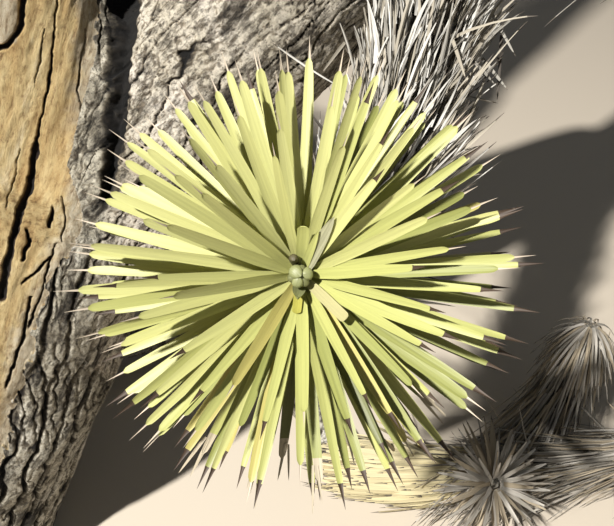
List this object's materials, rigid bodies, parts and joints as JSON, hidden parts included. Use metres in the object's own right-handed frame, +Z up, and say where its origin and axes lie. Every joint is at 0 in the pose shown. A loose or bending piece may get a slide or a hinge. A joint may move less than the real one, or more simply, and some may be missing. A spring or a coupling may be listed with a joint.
{
  "type": "tree yucca plant",
  "caption": "Leaning forked desert tree with thick bare boughs, arms shaggy with dead leaves, rosettes of stiff yellow-green bayonet leaves, and a dead low limb on the ground.",
  "frame": {"origin": "on the flat cut at ground level, under the middle of the trunk", "axes": "+Z up, +X towards the side the trunk leans to, -Y towards the side the picture was taken from"},
  "size_m": [2.9244, 1.7565, 3.0967],
  "materials": {
    "bark": "rough grey-brown corky bark in deep plates, with a strip of bare tan wood",
    "live_leaf": "satin yellow-green blade with brown spines",
    "dead_leaf": "dry weathered grey-white leaf"
  },
  "bodies": {
    "root": {"trunk": "bark", "left_stem": "bark", "right_limb": "bark", "left_bough": "bark", "top_bough": "bark", "back_bough": "bark", "right_bough": "bark", "far_bough": "bark", "dead_limb": "bark", "dead_limb_end": "bark", "rosette_front": "live_leaf", "skirt_front": "dead_leaf", "rosette_left_low": "live_leaf", "skirt_left_low": "dead_leaf", "rosette_left_out": "live_leaf", "skirt_left_out": "dead_leaf", "rosette_left_fore": "live_leaf", "skirt_left_fore": "dead_leaf", "rosette_left_rear": "live_leaf", "skirt_left_rear": "dead_leaf", "rosette_top_left": "live_leaf", "skirt_top_left": "dead_leaf", "rosette_top_right": "live_leaf", "skirt_top_right": "dead_leaf", "rosette_top_rear": "live_leaf", "skirt_top_rear": "dead_leaf", "rosette_back_left": "live_leaf", "skirt_back_left": "dead_leaf", "rosette_back_right": "live_leaf", "skirt_back_right": "dead_leaf", "rosette_right_fore": "live_leaf", "skirt_right_fore": "dead_leaf", "rosette_right_out": "live_leaf", "skirt_right_out": "dead_leaf", "rosette_right_low": "live_leaf", "skirt_right_low": "dead_leaf", "rosette_far_out": "live_leaf", "skirt_far_out": "dead_leaf", "rosette_far_rear": "live_leaf", "skirt_far_rear": "dead_leaf", "dead_skirt": "dead_leaf", "dead_head_fore": "dead_leaf", "dead_head_rear": "dead_leaf", "dead_head_out": "dead_leaf"}
  },
  "joints": []
}
